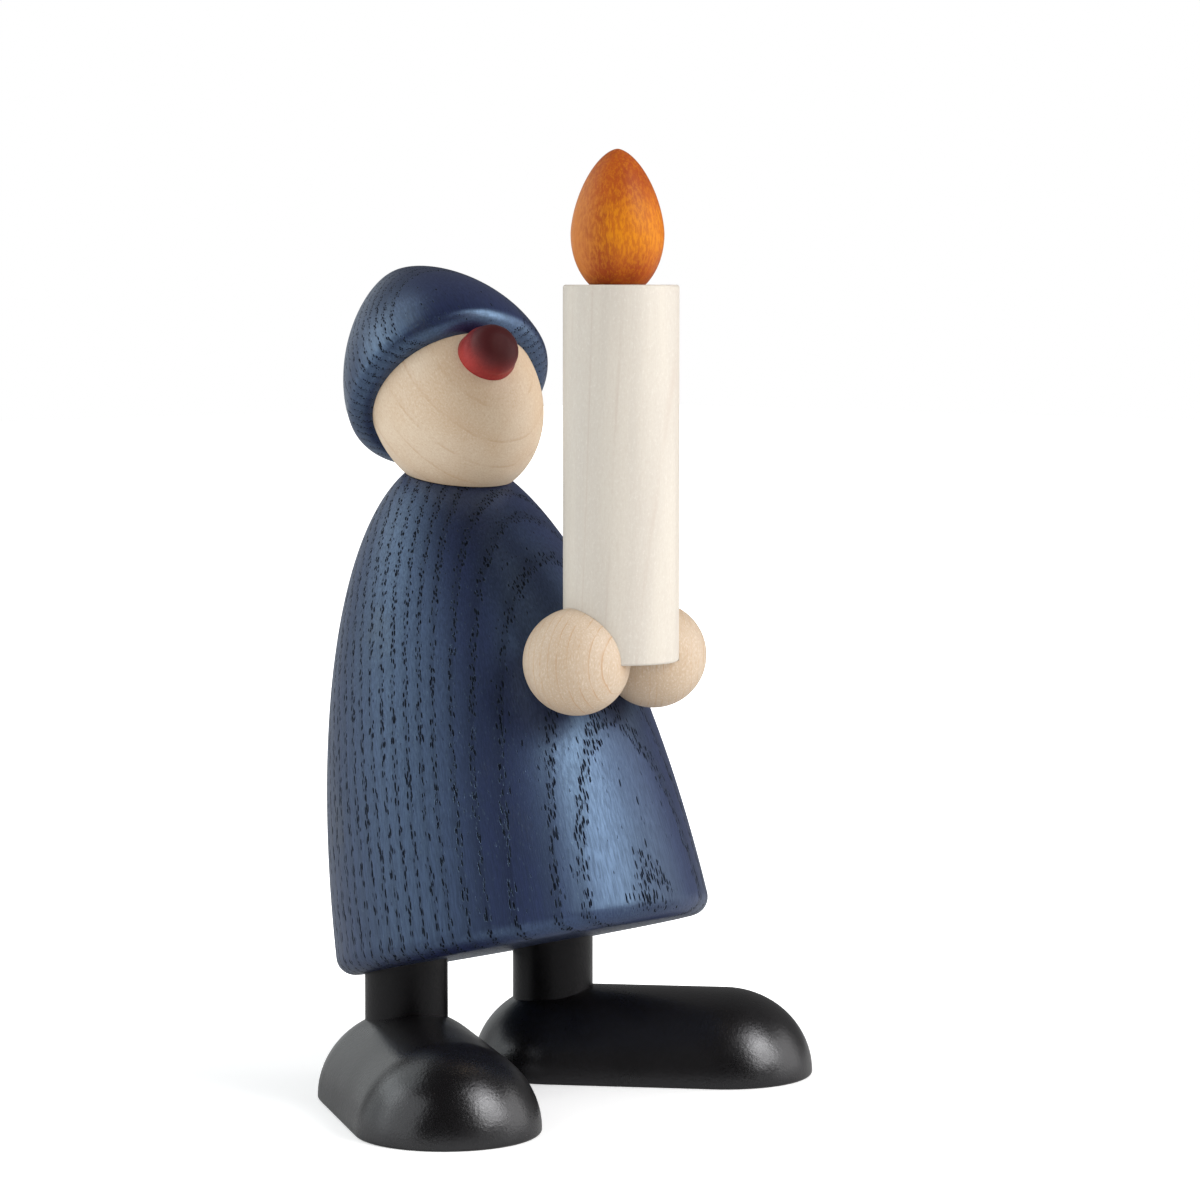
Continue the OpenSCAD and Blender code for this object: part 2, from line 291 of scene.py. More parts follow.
ashLook = {
    "early": (0.0090, 0.0090, 0.0390, 1), "late": (0.0122, 0.0134, 0.0610, 1),
    # painted shade: the darker colour after deep stands in for the shadow on the coat beside the candle
    "deep": (0.0064, 0.0063, 0.0280, 1), "paintedShade": (0.0045, 0.0045, 0.0150, 1),
    "pore": (0.0012, 0.0013, 0.0032, 1), "fleck": (0.060, 0.090, 0.115, 1),
    "rubbed": (0.045, 0.036, 0.026, 1), "tint": (0.44, 0.69, 1.0, 1),
    "wander": 0.40, "wave": 7.0, "sway": 0.5, "swayScale": 0.35, "swayDetail": 1.0,
    "fibre": (3.4, 0.2, 3.0, 0.6), "grit": (5.0, 1.6, 2.0, 0.6), "cloud": (0.07, 0.03, 3.0, 0.5),
    # pores stand close from the year's start to poreFull and grow scarce by poreEnd
    "poreWidth": 0.405, "poreLength": 2.0, "poreFull": 0.75, "poreEnd": 1.30,
    "poreChance": (0.97, 0.012), "poreSize": (0.37, 0.53), "poreStrength": 0.94,
    "poreRough": 0.3, "poreMatt": 0.7,
    "strayShare": 0.7, "strayChance": 0.035, "straySize": (0.26, 0.42), "strayStrength": 0.7,
    "dustCell": (0.30, 0.85), "dustChance": (0.38, 0.62, 0.05, 0.30), "dustSize": (0.20, 0.42),
    "dustStrength": 0.40, "lateBlend": (0.4, 2.4), "cloudBlend": (0.35, 0.70, 0.0, 0.35),
    "fibreBlend": (0.35, 0.70, 0.0, 0.65), "gritBlend": (0.55, 0.85, 0.0, 0.22),
    "rubbedGrit": 0.25, "rubbedBlend": (0.74, 0.86, 0.0, 0.4), "paintedShadeDepth": 8.0, "paintedShadeStrength": 0.75,
    "roughness": 0.41, "roughBlend": (0.2, 0.8, -0.05, 0.07), "toothHeight": 0.12, "bump": (0.6, 0.2),
    "specular": 1.0, "ior": 1.71, "shineBlend": (0.32, 0.68, 1.0, 0.74),
    "mattFrom": 0.4, "mattShine": 0.85,
}
capLook = dict(ashLook, poreWidth=0.32, poreLength=1.4, poreFull=0.42, poreEnd=0.85,
               roughness=0.36, ior=1.82, paintedShadeStrength=0.0)


def yearAge(tree, grain, look, starts, width):
    # millimetres grown since the year began: the first years begin at given distances from the pith
    # and the later ones follow at a steady width
    reach = pithDistance(tree, grain, look)
    began = 0.0
    for start in starts:
        passed = times(tree, calc(tree, "GREATER_THAN", reach, start), start)
        began = calc(tree, "MAXIMUM", passed, began)
    past = calc(tree, "MAXIMUM", minus(tree, reach, starts[-1]), 0.0)
    later = times(tree, calc(tree, "FLOOR", calc(tree, "DIVIDE", past, width)), width)
    return minus(tree, reach, plus(tree, began, later))


def blueAsh(name, at, turn, starts, width, look):
    # dark pores crowd where each year begins and thin out towards its smooth late wood
    material, tree, shader = newMaterial(name)
    grain = grainSpace(tree, at, turn)
    age = yearAge(tree, grain, look, starts, width)
    drift = noise(tree, grain, look["swayScale"], look["swayDetail"], output="Color")
    shake = scaled(tree, drift, look["sway"], look["sway"], look["sway"])
    swayed = add(tree, "ShaderNodeVectorMath", {0: shake, 1: grain}, operation="ADD").outputs[0]
    fibre = grainNoise(tree, grain, look["fibre"])
    grit = grainNoise(tree, grain, look["grit"])
    cloud = grainNoise(tree, grain, look["cloud"])

    def earlyChance(middle):
        grown = yearAge(tree, middle, look, starts, width)
        return ramp(tree, grown, look["poreFull"], look["poreEnd"], *look["poreChance"])

    def strayChance(middle):
        return look["strayChance"]

    def dustChance(middle):
        return ramp(tree, cloud, *look["dustChance"])

    cell = np.array([look["poreWidth"], look["poreLength"]])
    pore = scattered(tree, swayed, cell, earlyChance, look["poreSize"])
    stray = scattered(tree, swayed, cell * look["strayShare"], strayChance, look["straySize"])
    pore = calc(tree, "MAXIMUM", pore, times(tree, stray, look["strayStrength"]))
    dust = scattered(tree, swayed, look["dustCell"], dustChance, look["dustSize"])

    color = mixColor(tree, ramp(tree, age, *look["lateBlend"]), look["early"], look["late"])
    color = mixColor(tree, ramp(tree, cloud, *look["cloudBlend"]), color, look["deep"])
    color = mixColor(tree, ramp(tree, fibre, *look["fibreBlend"]), color, look["deep"])
    # painted shade: inside the first ring the colour darkens towards the pith, standing in for the
    # candle's and hands' shadow on the coat
    reach = pithDistance(tree, grain, look)
    paintedShadeMask = ramp(tree, reach, starts[0] - look["paintedShadeDepth"], starts[0], look["paintedShadeStrength"], 0.0)
    color = mixColor(tree, paintedShadeMask, color, look["paintedShade"])
    color = mixColor(tree, ramp(tree, grit, *look["gritBlend"]), color, look["fleck"])
    color = mixColor(tree, times(tree, dust, look["dustStrength"]), color, look["fleck"])
    wear = plus(tree, cloud, times(tree, grit, look["rubbedGrit"]))
    color = mixColor(tree, ramp(tree, wear, *look["rubbedBlend"]), color, look["rubbed"])
    color = mixColor(tree, times(tree, pore, look["poreStrength"]), color, look["pore"])

    rough = plus(tree, roughnessFrom(tree, fibre, look), times(tree, pore, look["poreRough"]))
    height = minus(tree, times(tree, plus(tree, fibre, grit), look["toothHeight"]), pore)
    finishSurface(tree, shader, color, rough, height, look)
    shine = minus(tree, ramp(tree, fibre, *look["shineBlend"]), times(tree, pore, look["poreMatt"]))
    least, most = look["mattShine"] * look["specular"], look["specular"]
    grownShine = ramp(tree, age, look["mattFrom"], look["poreEnd"], least, most)
    shine = calc(tree, "MULTIPLY", shine, grownShine, clamp=True)
    tree.links.new(shine, shader.inputs["Specular IOR Level"])
    return material


# natural maple

mapleLook = {
    "pale": (0.645, 0.517, 0.377, 1), "warm": (0.605, 0.457, 0.312, 1), "ring": (0.47, 0.285, 0.150, 1),
    "light": (0.72, 0.615, 0.480, 1), "tint": (1, 1, 1, 1), "wander": 0.5, "wave": 9.0,
    "patch": (0.25, 0.12, 2.0, 0.5), "fibre": (6.0, 0.5, 3.0, 0.65), "speck": (3.4, 1.6, 2.0, 0.7),
    "cloud": (0.12, 0.06, 3.0, 0.5), "lineRise": (0.86, 0.96), "lineFall": (0.97, 1.0, 1.0, 0.0),
    "softRise": (0.2, 0.97), "softPower": 4.0, "softShare": 0.30, "patchBlend": (0.35, 0.62, 0.12, 1.0),
    "dashCell": (0.42, 1.3), "dashChance": 0.22, "dashSize": (0.14, 0.34), "dashStrength": 0.30,
    "cloudBlend": (0.35, 0.66), "fibreBlend": (0.35, 0.75, 0.0, 0.22), "ringStrength": 0.34,
    "darkSpeck": (0.50, 0.70, 0.0, 0.30), "lightSpeck": (0.30, 0.48, 0.50, 0.0),
    "roughness": 0.46, "roughBlend": (0.2, 0.8, -0.05, 0.08), "bump": (0.25, 0.05),
    "specular": 0.68, "ior": 1.5,
}
handLook = dict(mapleLook, pale=(0.538, 0.436, 0.333, 1), warm=(0.505, 0.394, 0.285, 1),
                ring=(0.46, 0.280, 0.150, 1), light=(0.69, 0.590, 0.470, 1), wander=0.35, wave=4.0,
                ringStrength=0.62, specular=0.35)
dowelLook = dict(mapleLook, pale=(0.60, 0.42, 0.26, 1), warm=(0.55, 0.36, 0.21, 1),
                 ring=(0.45, 0.27, 0.14, 1))


def paleMaple(name, at, turn, firstRing, width, look):
    # thin tan lines where each year ends, fine fibres, a salt and pepper tooth and short flecks
    material, tree, shader = newMaterial(name)
    grain = grainSpace(tree, at, turn)
    reach = minus(tree, pithDistance(tree, grain, look), firstRing)
    phase = calc(tree, "FRACT", calc(tree, "DIVIDE", reach, width))
    soft = calc(tree, "POWER", ramp(tree, phase, *look["softRise"]), look["softPower"])
    ring = plus(tree, yearLine(tree, phase, look), times(tree, soft, look["softShare"]))
    patch = grainNoise(tree, grain, look["patch"])
    ring = times(tree, ring, ramp(tree, patch, *look["patchBlend"]))
    fibre = grainNoise(tree, grain, look["fibre"])
    speck = grainNoise(tree, grain, look["speck"])
    cloud = grainNoise(tree, grain, look["cloud"])

    def dashChance(middle):
        return look["dashChance"]

    dash = scattered(tree, grain, look["dashCell"], dashChance, look["dashSize"])
    color = mixColor(tree, ramp(tree, cloud, *look["cloudBlend"]), look["pale"], look["warm"])
    color = mixColor(tree, ramp(tree, fibre, *look["fibreBlend"]), color, look["ring"])
    color = mixColor(tree, ramp(tree, speck, *look["darkSpeck"]), color, look["ring"])
    color = mixColor(tree, ramp(tree, speck, *look["lightSpeck"]), color, look["light"])
    color = mixColor(tree, times(tree, ring, look["ringStrength"]), color, look["ring"])
    color = mixColor(tree, times(tree, dash, look["dashStrength"]), color, look["ring"])
    rough = roughnessFrom(tree, fibre, look)
    finishSurface(tree, shader, color, rough, plus(tree, fibre, speck), look)
    return material


# whitened wood of the candle

whiteLook = {
    "pale": (0.592, 0.547, 0.478, 1), "cool": (0.558, 0.514, 0.453, 1), "line": (0.47, 0.375, 0.31, 1),
    "light": (0.68, 0.645, 0.585, 1), "tint": (1, 1, 1, 1), "wander": 1.2, "wave": 16.0, "ringWidth": 4.4,
    "patch": (0.15, 0.05, 2.0, 0.5), "band": (0.25, 0.02, 2.0, 0.5), "fibre": (4.5, 0.3, 3.0, 0.6),
    "speck": (2.6, 1.5, 3.0, 0.75), "lineRise": (0.88, 0.96), "lineFall": (0.965, 1.0, 1.0, 0.0),
    "patchBlend": (0.35, 0.65, 0.1, 1.0), "bandBlend": (0.35, 0.65), "fibreBlend": (0.4, 0.8, 0.0, 0.14),
    "darkSpeck": (0.50, 0.75, 0.0, 0.24), "lightSpeck": (0.28, 0.48, 0.5, 0.0), "lineStrength": 0.30,
    "roughness": 0.52, "roughBlend": (0.2, 0.8, -0.04, 0.08), "bump": (0.22, 0.05),
    "specular": 0.45, "ior": 1.5,
}


def whitenedWood(name, at, turn, look):
    # broad soft bands, a few thin slanting lines and a fine mealy tooth
    material, tree, shader = newMaterial(name)
    grain = grainSpace(tree, at, turn)
    phase = calc(tree, "FRACT", calc(tree, "DIVIDE", pithDistance(tree, grain, look), look["ringWidth"]))
    patch = grainNoise(tree, grain, look["patch"])
    ring = times(tree, yearLine(tree, phase, look), ramp(tree, patch, *look["patchBlend"]))
    band = grainNoise(tree, grain, look["band"])
    fibre = grainNoise(tree, grain, look["fibre"])
    speck = grainNoise(tree, grain, look["speck"])
    color = mixColor(tree, ramp(tree, band, *look["bandBlend"]), look["pale"], look["cool"])
    color = mixColor(tree, ramp(tree, fibre, *look["fibreBlend"]), color, look["line"])
    color = mixColor(tree, ramp(tree, speck, *look["darkSpeck"]), color, look["line"])
    color = mixColor(tree, ramp(tree, speck, *look["lightSpeck"]), color, look["light"])
    color = mixColor(tree, times(tree, ring, look["lineStrength"]), color, look["line"])
    rough = roughnessFrom(tree, fibre, look)
    finishSurface(tree, shader, color, rough, plus(tree, fibre, speck), look)
    return material


# stained maple of the flame and the nose

stainLook = {
    "cloud": (0.16, 0.08, 3.0, 0.5), "stroke": (2.0, 0.65, 3.0, 0.7), "fibre": (5.0, 0.9, 3.0, 0.65),
    "cloudBlend": (0.36, 0.62), "strokeBlend": (0.42, 0.68, 0.0, 0.36),
    "fibreBlend": (0.40, 0.75, 0.0, 0.50), "roughBlend": (0.2, 0.8, -0.06, 0.07), "ior": 1.5,
}
flameLook = dict(
    stainLook, bright=(0.39, 0.078, 0.010, 1), deep=(0.29, 0.046, 0.009, 1), gold=(0.62, 0.215, 0.006, 1),
    tan=(0.57, 0.205, 0.045, 1), tint=(1, 0.92, 0.75, 1), specular=0.15, roughness=0.42, bump=(0.3, 0.08),
    # golden side and painted sheen side: a direction and a span in mm from the axis; foot and tip: spans
    # in mm upwards
    goldWay=(-0.25, -0.97, 0.0), goldBlend=(1.5, 8.0, 0.0, 0.80), goldStroke=(0.38, 0.60, 0.45, 1.0),
    tanWay=(-0.71, 0.70, 0.0), tanBlend=(2.0, 8.0, 0.0, 0.8), ragged=5.0,
    footBlend=(1.5, 8.0), tipBlend=(10.0, 19.0, 1.0, 0.10))
noseLook = dict(
    stainLook, bright=(0.36, 0.036, 0.032, 1), deep=(0.26, 0.027, 0.026, 1), gold=(0.41, 0.050, 0.040, 1),
    endGrainAndShade=(0.048, 0.009, 0.011, 1), tint=(1, 1, 1, 1), specular=0.2, roughness=0.46, bump=(0.25, 0.06),
    endShadeWay=(0.06, 0.30, 1.0), endShadeBlend=(15.6, 20.8, 0.0, 0.92), ragged=1.2)


def stainStrokes(tree, grain, look):
    # cloudy stain in short upright strokes over fine fibres
    cloud = grainNoise(tree, grain, look["cloud"])
    stroke = grainNoise(tree, grain, look["stroke"])
    fibre = grainNoise(tree, grain, look["fibre"])
    color = mixColor(tree, ramp(tree, cloud, *look["cloudBlend"]), look["deep"], look["bright"])
    color = mixColor(tree, ramp(tree, stroke, *look["strokeBlend"]), color, look["gold"])
    color = mixColor(tree, ramp(tree, fibre, *look["fibreBlend"]), color, look["deep"])
    return color, stroke, fibre


def flameStain(name, at, turn, look):
    # one side of the egg is golden between its darker foot and tip; a painted sheen lightens the side that
    # faces the left lamps
    material, tree, shader = newMaterial(name)
    grain = grainSpace(tree, at, turn)
    color, stroke, fibre = stainStrokes(tree, grain, look)
    ragged = centred(tree, stroke, look["ragged"])

    def sideward(way, blend):
        return ramp(tree, plus(tree, alongWay(tree, grain, way), ragged), *blend)

    up = add(tree, "ShaderNodeSeparateXYZ", {0: grain}).outputs[2]
    golden = times(tree, ramp(tree, up, *look["footBlend"]), ramp(tree, up, *look["tipBlend"]))
    golden = times(tree, golden, sideward(look["goldWay"], look["goldBlend"]))
    golden = times(tree, golden, ramp(tree, stroke, *look["goldStroke"]))
    color = mixColor(tree, golden, color, look["gold"])
    # painted sheen: a lighter tan laid on the side facing the left lamps, standing in for their sheen
    color = mixColor(tree, sideward(look["tanWay"], look["tanBlend"]), color, look["tan"])
    rough = roughnessFrom(tree, fibre, look)
    finishSurface(tree, shader, color, rough, plus(tree, fibre, stroke), look)
    return material


def noseStain(name, at, turn, look):
    # the end grain drank more stain, and painted shade darkens it further, softly towards the face and
    # leaning to one side
    material, tree, shader = newMaterial(name)
    grain = grainSpace(tree, at, turn)
    color, stroke, fibre = stainStrokes(tree, grain, look)
    # painted shade: the dark end colour also stands in for the shade on the end face, which gets little
    # light
    along = plus(tree, alongWay(tree, grain, look["endShadeWay"]), centred(tree, fibre, look["ragged"]))
    color = mixColor(tree, ramp(tree, along, *look["endShadeBlend"]), color, look["endGrainAndShade"])
    finishSurface(tree, shader, color, roughnessFrom(tree, fibre, look), fibre, look)
    return material


# black satin lacquer: textures here are (noise cells per metre, detail, roughness)

blackLook = {
    "color": (0.0030, 0.0024, 0.0028, 1), "worn": (0.0050, 0.0041, 0.0046, 1), "tint": (0.95, 0.96, 1, 1),
    "peel": (1700.0, 2.0, 0.5), "grit": (2600.0, 2.0, 0.7), "cloud": (60.0, 3.0, 0.5),
    "cloudBlend": (0.35, 0.7), "cloudShare": 0.6, "gritShare": 0.4,
    "roughness": 0.295, "roughBlend": (0.3, 0.7, -0.05, 0.07), "bump": (0.45, 0.09),
    "specular": 0.85, "ior": 1.5,
}
legLook = dict(blackLook, roughness=0.36, specular=0.25)


def blackLacquer(name, look):
    # fine orange peel and a soft cloudiness in the gloss
    material, tree, shader = newMaterial(name)
    place = objectPlace(tree)
    peel = noise(tree, place, *look["peel"])
    grit = times(tree, noise(tree, place, *look["grit"]), look["gritShare"])
    cloud = noise(tree, place, *look["cloud"])
    color = mixColor(tree, ramp(tree, cloud, *look["cloudBlend"]), look["color"], look["worn"])
    gloss = plus(tree, times(tree, cloud, look["cloudShare"]), grit)
    rough = roughnessFrom(tree, gloss, look)
    finishSurface(tree, shader, color, rough, plus(tree, peel, grit), look)
    return material


# coat

coat = {
    "lean": 14.5, "hemZ": 26.8, "hemForward": 12.0, "radius": 34.8, "halfLength": 107.2,
    "hemCut": 16.0, "hemRound": 3.4, "around": 288, "upSteps": 170, "pith": (11.8, -238.7, 0.0),
    "yearStarts": (204.5, 208.4, 211.3, 216.8, 220.8, 223.9, 227.2, 229.7), "yearWidth": 2.6,
}
neck = {"cut": 4.7, "forward": 4.0, "tilt": 8.6, "gap": 0.15, "headTurn": 17.0,
        "seatRings": (0.97, 0.5, 0.0)}

coatTurn = turnX(-coat["lean"])
coatAt = stand + np.array([0, -coat["hemForward"], coat["hemZ"]])
coatTip = coat["halfLength"] - coat["hemCut"]
neckAt = coatAt + coatTurn @ np.array([0, -neck["forward"], coatTip - neck["cut"]])
neckTurn = turnZ(-neck["headTurn"]) @ turnX(neck["tilt"])
neckUp = neckTurn[:, 2]


def coatSurface():
    # ellipse of revolution on a leaning axis; each meridian stops where it meets the neck plane:
    # p sin(f) + q cos(f) = d, with p and q the plane's share of the long and the round half axis
    radius, halfLength, rounding = coat["radius"], coat["halfLength"], coat["hemRound"]
    a = np.linspace(0, 2 * np.pi, coat["around"], endpoint=False)
    out = np.stack([np.cos(a), np.sin(a), 0 * a], -1) @ coatTurn.T
    axis = coatTurn[:, 2]
    middle = coatAt - coat["hemCut"] * axis
    p = halfLength * (neckUp @ axis)
    q = radius * (out @ neckUp)
    d = neckUp @ (neckAt - middle)
    last = np.arcsin(d / np.hypot(p, q)) - np.arctan2(q, p)
    first = np.arcsin((rounding + coat["hemCut"]) / halfLength)
    f = first + (last - first) * np.linspace(0, 1, coat["upSteps"] + 1)[:, None]
    side = middle + halfLength * np.sin(f)[..., None] * axis + radius * np.cos(f)[..., None] * out
    edge = radius * np.cos(first) - rounding
    hem = np.concatenate([flatTo(edge, 0.0), arc(edge, rounding, rounding, rounding, -90, 0)])
    under = placed(revolved(hem[:-1], coat["around"]), coatTurn, coatAt)
    seat = neckAt + (side[-1] - neckAt) * np.array(neck["seatRings"])[:, None, None]
    return np.concatenate([under, side, seat])


coatPith = coatAt + coatTurn @ np.array(coat["pith"])
coatAsh = blueAsh("coatBlueAsh", coatPith, coatTurn, coat["yearStarts"], coat["yearWidth"], ashLook)
piece("coatTurned", coatSurface(), coatAsh, "figure", ["coat"])
print("coat made")


# head, cap and nose share the head's own axis

head = {"lean": 57.6, "diameter": 31.2, "length": 39.6, "up": 13.4, "back": 3.1, "around": 224,
        "steps": 130, "flatRings": (0.0, 0.5, 0.98), "pith": (5.9, -79.5, 0.0), "firstRing": 68.8,
        "ringWidth": 4.6}
eggTurn = neckTurn @ turnX(-head["lean"])
eggAt = neckAt + neckTurn @ np.array([0, head["back"], head["up"]])


def headSurface():
    # egg as a stretched unit ball: the neck plane is a plane in the ball's space too,
    # so rings about that plane's normal end exactly on the flat seat
    stretch = eggTurn @ np.diag([head["diameter"] / 2, head["diameter"] / 2, head["length"] / 2])
    normal = stretch.T @ neckUp
    reach = np.linalg.norm(normal)
    normal = normal / reach
    level = (neckUp @ (neckAt - eggAt) + neck["gap"]) / reach
    side = np.cross(normal, [0.0, 1.0, 0.0])
    side = side / np.linalg.norm(side)
    across = np.cross(normal, side)
    a = np.linspace(0, 2 * np.pi, head["around"], endpoint=False)
    ring = np.cos(a)[:, None] * side + np.sin(a)[:, None] * across
    flat = np.array(head["flatRings"])[:, None, None] * np.sqrt(1 - level ** 2) * ring + level * normal
    polar = np.linspace(np.arccos(level), 0, head["steps"] + 1)[:, None, None]
    ball = np.sin(polar) * ring + np.cos(polar) * normal
    return np.concatenate([flat, ball]) @ stretch.T + eggAt


headPith = eggAt + eggTurn @ np.array(head["pith"])
headWood = paleMaple("headMaple", headPith, eggTurn, head["firstRing"], head["ringWidth"], mapleLook)
piece("headEgg", headSurface(), headWood, "head", ["head"])

cap = {"diameter": 38.6, "tip": 34.8, "rim": 1.1, "lipHeight": 3.1, "lipFrom": -88, "flank": 1.66,
       "point": 0.77, "around": 256, "insideRings": 50, "lipSteps": 20, "outsideRings": 110,
       "sharpAngle": 60, "pith": (-18.1, -128.7, 0.0),
       "yearStarts": (115.9, 117.4, 118.9, 120.4, 122.0, 123.7), "yearWidth": 1.8}


def capSurface():
    # inside: the head's egg grown by the glue gap; outside: a rolled lip,
    # then radius times (1 - u^flank)^point
    half = head["length"] / 2 + figure["glueGap"]
    inRadius = head["diameter"] / 2 + figure["glueGap"]
    outRadius = cap["diameter"] / 2
    wide = cap["rim"] + cap["lipHeight"]
    t = np.linspace(np.pi / 2, np.arcsin(cap["rim"] / half), cap["insideRings"])
    inside = np.stack([inRadius * np.cos(t), half * np.sin(t)], -1)
    lip = arc(inRadius, wide, outRadius - inRadius, cap["lipHeight"], cap["lipFrom"], 0, cap["lipSteps"])
    u = np.sin(np.linspace(0, np.pi / 2, cap["outsideRings"]))[1:]
    r = outRadius * np.maximum(0, 1 - u ** cap["flank"]) ** cap["point"]
    outside = np.stack([r, wide + (cap["tip"] - wide) * u], -1)
    return placed(revolved(np.concatenate([inside, lip, outside]), cap["around"]), eggTurn, eggAt)


capPith = eggAt + eggTurn @ np.array(cap["pith"])
capAsh = blueAsh("capBlueAsh", capPith, eggTurn, cap["yearStarts"], cap["yearWidth"], capLook)
piece("capTurned", capSurface(), capAsh, "head", ["cap"], cap["sharpAngle"])

nose = {"diameter": 10.4, "tip": 9.5, "reach": 21.4, "taper": 4.7, "inHead": 7.0, "round": 3.4,
        "drop": 27.0, "rise": 2.9, "around": 128, "rootSteps": 3, "taperSteps": 5, "roundSteps": 14}
noseTurn = eggTurn @ turnX(90 + nose["drop"])
noseAt = eggAt + noseTurn @ np.array([0, nose["rise"], 0])


def noseSurface():
    # peg: straight root, tapering end, rounded rim and a flat face
    taperFrom = nose["reach"] - nose["taper"]
    root = taperFrom - nose["inHead"]
    r, tip, rounding = nose["diameter"] / 2, nose["tip"] / 2, nose["round"]
    rim = tip - rounding
    rimZ = nose["reach"] - rounding
    profile = np.concatenate([
        flatTo(r, root), line(r, root, r, taperFrom, nose["rootSteps"]),
        line(r, taperFrom, tip, rimZ, nose["taperSteps"])[1:],
        arc(rim, rimZ, rounding, rounding, 0, 90, nose["roundSteps"])[1:],
        flatTo(rim, nose["reach"])[::-1]])
    return placed(revolved(profile, nose["around"]), noseTurn, noseAt)


noseWood = noseStain("noseRedStain", noseAt, noseTurn, noseLook)
piece("nosePeg", noseSurface(), noseWood, "head", ["nose"])
print("head, cap and nose made")


# candle and flame stand where the frame has them

candleLow, candleHigh = (np.array(c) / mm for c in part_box("candle"))
candle = {
    "radius": (candleHigh[0] - candleLow[0]) / 2, "length": candleHigh[2] - candleLow[2], "round": 0.5,
    "around": 160, "roundSteps": 6, "sideSteps": 12,
    "pith": (-9.0, 26.0, 0.0), "grainTurn": 30, "grainLean": 3,
}
candleAt = np.array([(candleLow[0] + candleHigh[0]) / 2, (candleLow[1] + candleHigh[1]) / 2, candleLow[2]])


def candleSurface(grow, rounding):
    # upright cylinder with both edges rounded
    r, length, steps = candle["radius"] + grow, candle["length"], candle["roundSteps"]
    edge = r - rounding
    profile = np.concatenate([
        flatTo(edge, 0.0), arc(edge, rounding, rounding, rounding, -90, 0, steps),
        line(r, rounding, r, length - rounding, candle["sideSteps"])[1:-1],
        arc(edge, length - rounding, rounding, rounding, 0, 90, steps), flatTo(edge, length)[::-1]])
    return revolved(profile, candle["around"]) + candleAt


candleGrain = turnZ(candle["grainTurn"]) @ turnX(candle["grainLean"])
candleWood = whitenedWood("candleWhitened", candleAt + np.array(candle["pith"]), candleGrain, whiteLook)
piece("candleStick", candleSurface(0.0, candle["round"]), candleWood, "figure", ["candle"])

flame = {"diameter": 16.4, "widest": 8.8, "upper": 14.8, "lower": 11.0, "bulge": 1.63, "point": 0.60,
         "tenon": 4.5, "tenonLength": 8.0, "aside": -0.9, "around": 128, "lowRings": 30, "highRings": 90,
         "sharpAngle": 50}
flameAt = candleAt + np.array([flame["aside"], 0, candle["length"]])


def flameSurface():
    # egg: an ellipse below its widest ring, above it radius times (1 - u^bulge)^point; tenon below
    r, peg, root = flame["diameter"] / 2, flame["tenon"] / 2, -flame["tenonLength"]
    z = np.linspace(-flame["widest"], 0, flame["lowRings"])
    low = np.stack([r * np.sqrt(1 - (z / flame["lower"]) ** 2), flame["widest"] + z], -1)
    u = np.sin(np.linspace(0, np.pi / 2, flame["highRings"]))[1:]
    high = np.stack([r * np.maximum(0, 1 - u ** flame["bulge"]) ** flame["point"],
                     flame["widest"] + flame["upper"] * u], -1)
    profile = np.concatenate([flatTo(peg, root), line(peg, root, peg, 0.0), low, high])
    return revolved(profile, flame["around"]) + flameAt


flameWood = flameStain("flameOrangeStain", flameAt, upright, flameLook)
piece("flameEgg", flameSurface(), flameWood, "figure", ["flame"], flame["sharpAngle"])
print("candle and flame made")


# hands: balls set against the coat, with a pocket for the candle

hands = {
    "diameter": 18.9, "gap": 0.12, "up": 46.4, "seat": 0.5, "pocketRound": 0.02,
    "around": 160, "rings": 100,
    "right": {"pith": (-21.2, 56.0, 0.0), "firstRing": 51.3, "ringWidth": 1.65},
    "left": {"pith": (-49.0, 34.0, 0.0), "firstRing": 50.6, "ringWidth": 1.25},
}


def ballSurface(at, radius):
    # ball: rings of radius sin(t) at height -cos(t)
    t = np.linspace(0, np.pi, hands["rings"])
    profile = np.stack([radius * np.sin(t), -radius * np.cos(t)], -1)
    return revolved(profile, hands["around"]) + at


def makeHand(side, node, name, grown):
    # the two balls stand side by side, each a little sunk into the coat
    r = hands["diameter"] / 2
    half = r + hands["gap"] / 2
    coatRadius = coat["radius"] * np.sqrt(1 - ((hands["up"] + coat["hemCut"]) / coat["halfLength"]) ** 2)
    front = np.sqrt((coatRadius + r - hands["seat"]) ** 2 - half ** 2)
    at = coatAt + coatTurn @ np.array([side * half, -front, hands["up"]])
    pith = at + np.array(grown["pith"])
    maple = paleMaple(name + "Maple", pith, upright, grown["firstRing"], grown["ringWidth"], handLook)
    ball = piece(name, ballSurface(at, r), maple, "figure", [node])
    carve(ball, candleSurface(figure["glueGap"], hands["pocketRound"]))


makeHand(-1, "right_hand", "rightHandBall", hands["right"])
makeHand(1, "left_hand", "leftHandBall", hands["left"])
print("hands made")


# legs and shoes

legs = {"spacing": 36.6, "around": 96, "upSteps": 8}
shoe = {"width": 32.8, "length": 63.6, "height": 15.9, "soleRound": 0.6, "setBack": 16.9,
        "rightToeOut": 29.0, "leftToeOut": 37.5, "endSteps": 64, "straightSteps": 40, "overRings": 60,
        "sharpAngle": 60}
shoeLacquer = blackLacquer("shoeBlackLacquer", blackLook)
legLacquer = blackLacquer("legBlackLacquer", legLook)


def legSurface(node):
    # upright cylinder between the ends that the frame gives
    low, high = (np.array(c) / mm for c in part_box(node))
    r = (high[0] - low[0]) / 2
    side = line(r, low[2], r, high[2], legs["upSteps"])
    profile = np.concatenate([flatTo(r, low[2]), side, flatTo(r, high[2])[::-1]])
    at = np.array([(low[0] + high[0]) / 2, (low[1] + high[1]) / 2, 0])
    return revolved(profile, legs["around"]) + at


